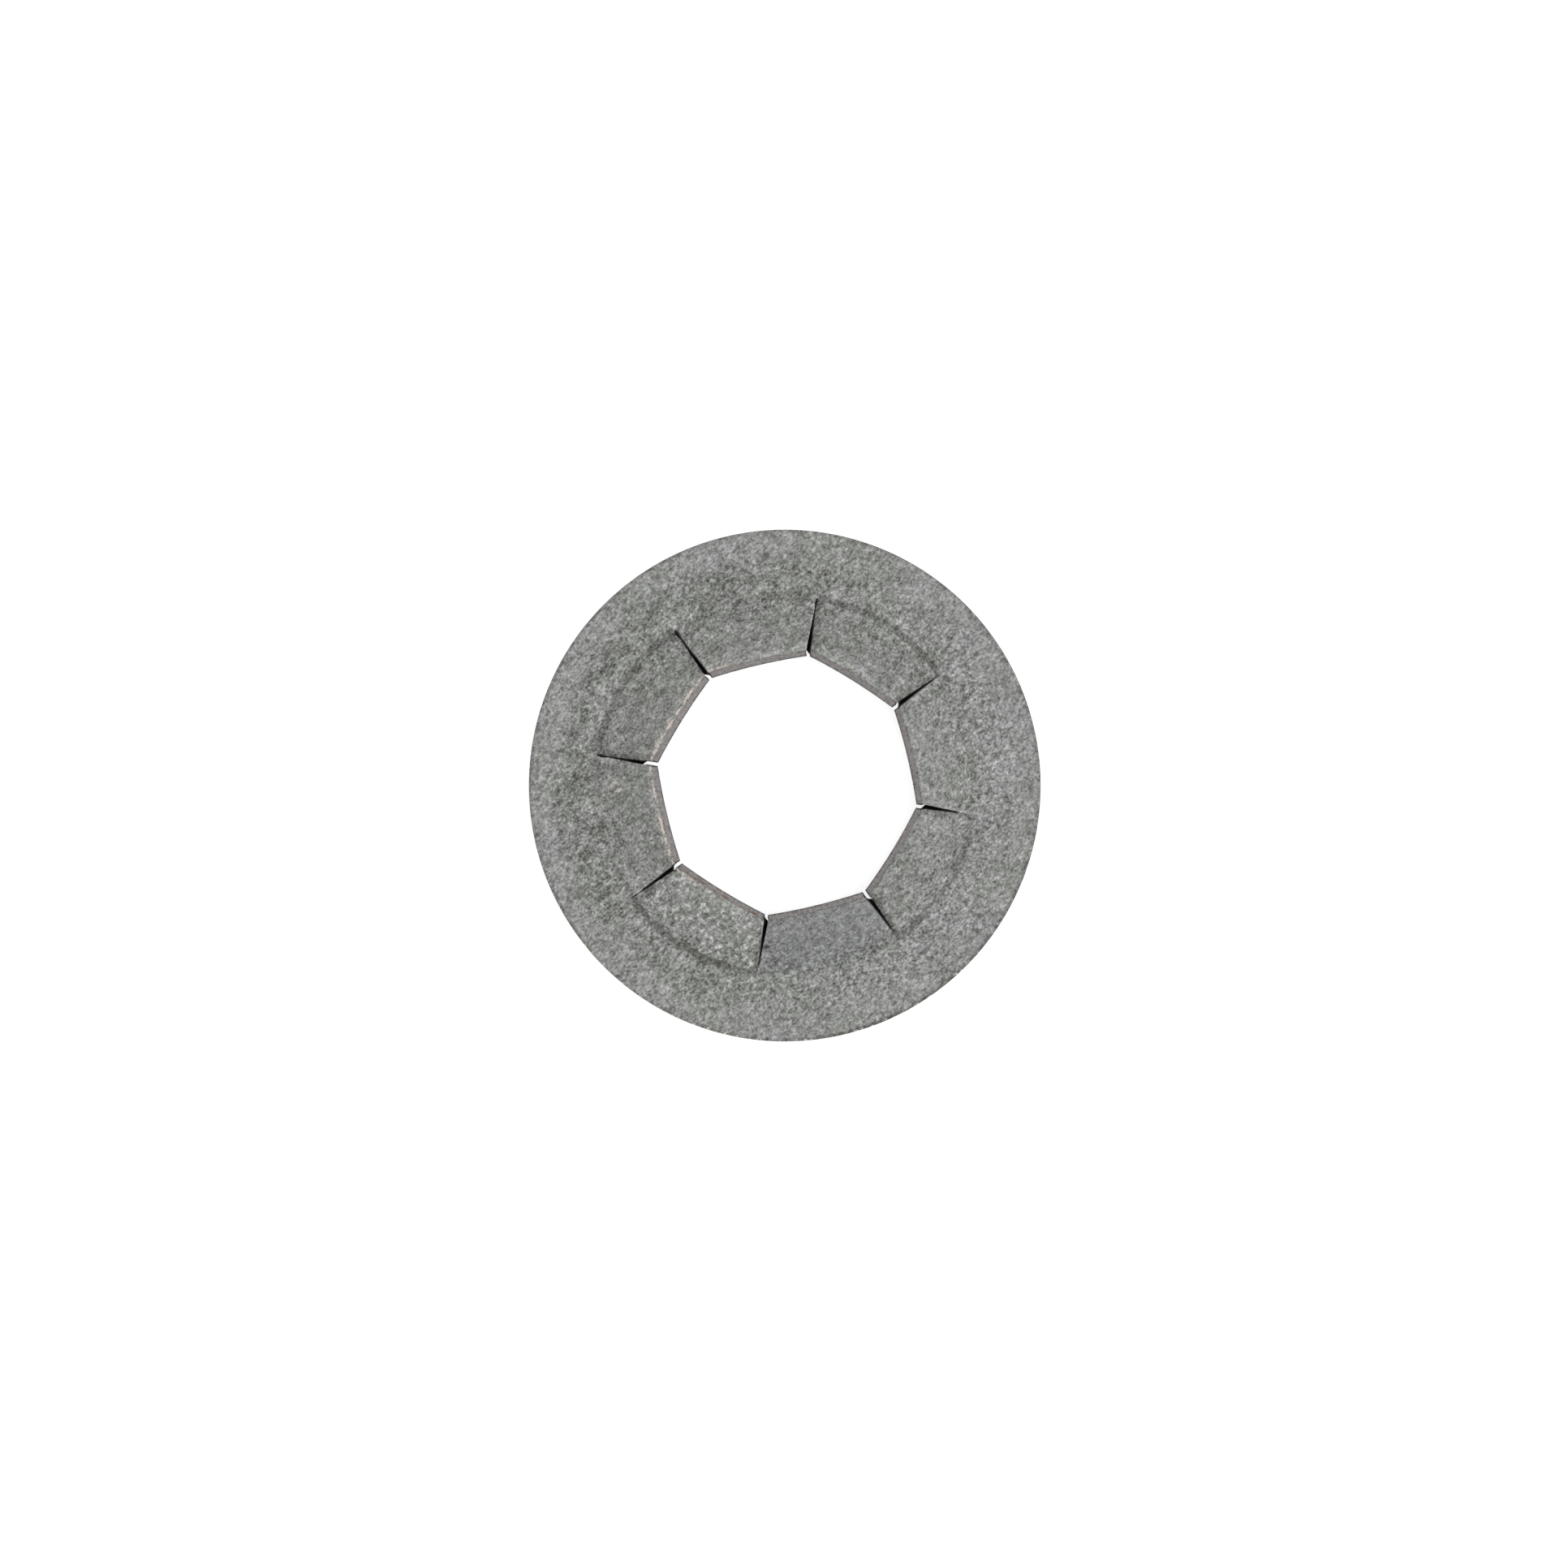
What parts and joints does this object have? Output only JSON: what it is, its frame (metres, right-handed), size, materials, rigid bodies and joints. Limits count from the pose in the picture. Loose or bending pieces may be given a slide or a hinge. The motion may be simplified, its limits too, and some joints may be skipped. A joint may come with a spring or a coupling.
{
  "type": "push-on retaining ring",
  "caption": "Flat spring-steel ring with slit inner tabs bent up at an angle, pushed onto a plain ungrooved shaft so the tab tips bite and hold what lies against the rim.",
  "frame": {"origin": "shaft axis, on the plane of the rim's flat underside", "axes": "+Z along the shaft axis towards the side that the tabs rise on; a slit lies on +X and on +Y"},
  "size_m": [0.0126, 0.0126, 0.0011],
  "materials": {
    "phosphate_steel": "matt grey phosphate with a fine grain"
  },
  "bodies": {
    "root": {"retaining_ring": "phosphate_steel"}
  },
  "joints": []
}
